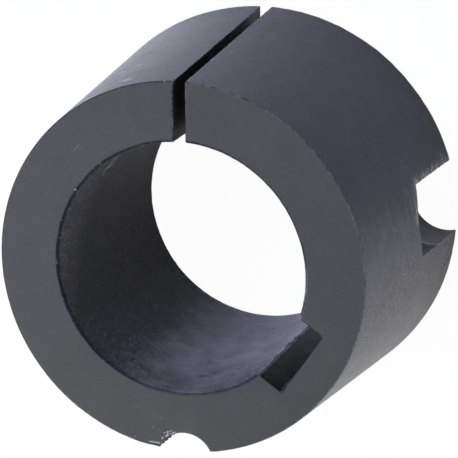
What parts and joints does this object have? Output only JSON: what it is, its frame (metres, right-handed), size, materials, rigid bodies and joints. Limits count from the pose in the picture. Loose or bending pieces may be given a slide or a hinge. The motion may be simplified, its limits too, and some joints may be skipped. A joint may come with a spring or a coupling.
{
  "type": "split taper bush",
  "caption": "Split tapered ring that grips a keyed shaft when it is drawn into a matching tapered hub, with half-holes for its screws along the outside.",
  "frame": {"origin": "on the bore's axis, in the plane of the large end", "axes": "+Z along the bore from the large end to the small end, +Y through the middle of the slit"},
  "size_m": [0.057, 0.0569, 0.0381],
  "materials": {
    "phosphated_iron": "machined and phosphated, dark satin grey, thin bright edges"
  },
  "bodies": {
    "root": {"taper_bush": "phosphated_iron"}
  },
  "joints": []
}
